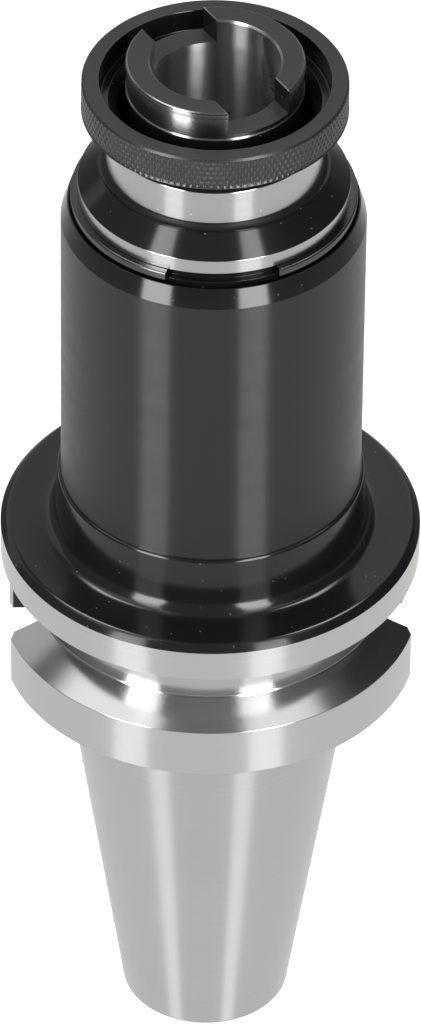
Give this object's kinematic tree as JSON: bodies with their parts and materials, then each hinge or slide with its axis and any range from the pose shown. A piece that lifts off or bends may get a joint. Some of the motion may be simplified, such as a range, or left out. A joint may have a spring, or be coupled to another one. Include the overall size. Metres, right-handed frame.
{
  "type": "tapping chuck",
  "caption": "Quick-change tapping chuck on a size 40 steep taper: a barrel with a floating, slotted spindle, and a knurled collar that slides down to free the tap adapter.",
  "frame": {"origin": "centre of the taper's gauge plane, on the axis", "axes": "+Z along the axis from the taper towards the slotted nose that takes the tap adapter; +X through one of the two key slots of the flange"},
  "size_m": [0.063, 0.063, 0.1774],
  "materials": {
    "hardened_steel": "ground bare on the taper and flange rims, blackened and polished elsewhere",
    "ground_steel": "fine ground, with a blackened shoulder",
    "black_steel": "blackened, diamond knurled rim",
    "spring_steel": "oil tempered",
    "bolt_steel": "black oxide",
    "washer_steel": "ground",
    "ball_steel": "polished bearing ball"
  },
  "bodies": {
    "shank": {"taper_shank": "hardened_steel", "float_bolt": "bolt_steel", "lock_screw": "bolt_steel", "base_washer": "washer_steel", "push_spring": "spring_steel", "pull_spring": "spring_steel", "head_washer": "washer_steel", "stop_sleeve": "washer_steel"},
    "spindle": {"float_spindle": "ground_steel", "snap_ring": "spring_steel", "spindle_washer": "washer_steel", "web_washer": "washer_steel", "drive_ball_1": "ball_steel", "drive_ball_2": "ball_steel", "drive_ball_3": "ball_steel", "drive_ball_4": "ball_steel", "drive_ball_5": "ball_steel", "drive_ball_6": "ball_steel", "retaining_ring": "spring_steel", "spring_seat": "washer_steel", "return_spring": "spring_steel"},
    "collar": {"release_collar": "black_steel"},
    "ball_1": {"lock_ball_1": "ball_steel"},
    "ball_2": {"lock_ball_2": "ball_steel"}
  },
  "joints": [
    {"name": "float_slide", "type": "slide", "parent": "shank", "child": "spindle", "axis": [0, 0, 1], "range_m": [-0.005, 0.01], "stiffness_N_per_m": 20000, "deforming": ["push_spring", "pull_spring"]},
    {"name": "collar_slide", "type": "slide", "parent": "spindle", "child": "collar", "axis": [0, 0, 1], "range_m": [-0.0035, 0], "stiffness_N_per_m": 1500, "springref_m": 0.003, "deforming": ["return_spring"]},
    {"name": "ball_1_slide", "type": "slide", "parent": "spindle", "child": "ball_1", "axis": [-0.5299, 0.848, 0], "range_m": [0, 0.0008]},
    {"name": "ball_2_slide", "type": "slide", "parent": "spindle", "child": "ball_2", "axis": [0.5299, -0.848, 0], "range_m": [0, 0.0008]}
  ],
  "couplings": [
    {"joint": "ball_1_slide", "follows": "collar_slide", "ratio": -0.21},
    {"joint": "ball_2_slide", "follows": "collar_slide", "ratio": -0.21}
  ]
}
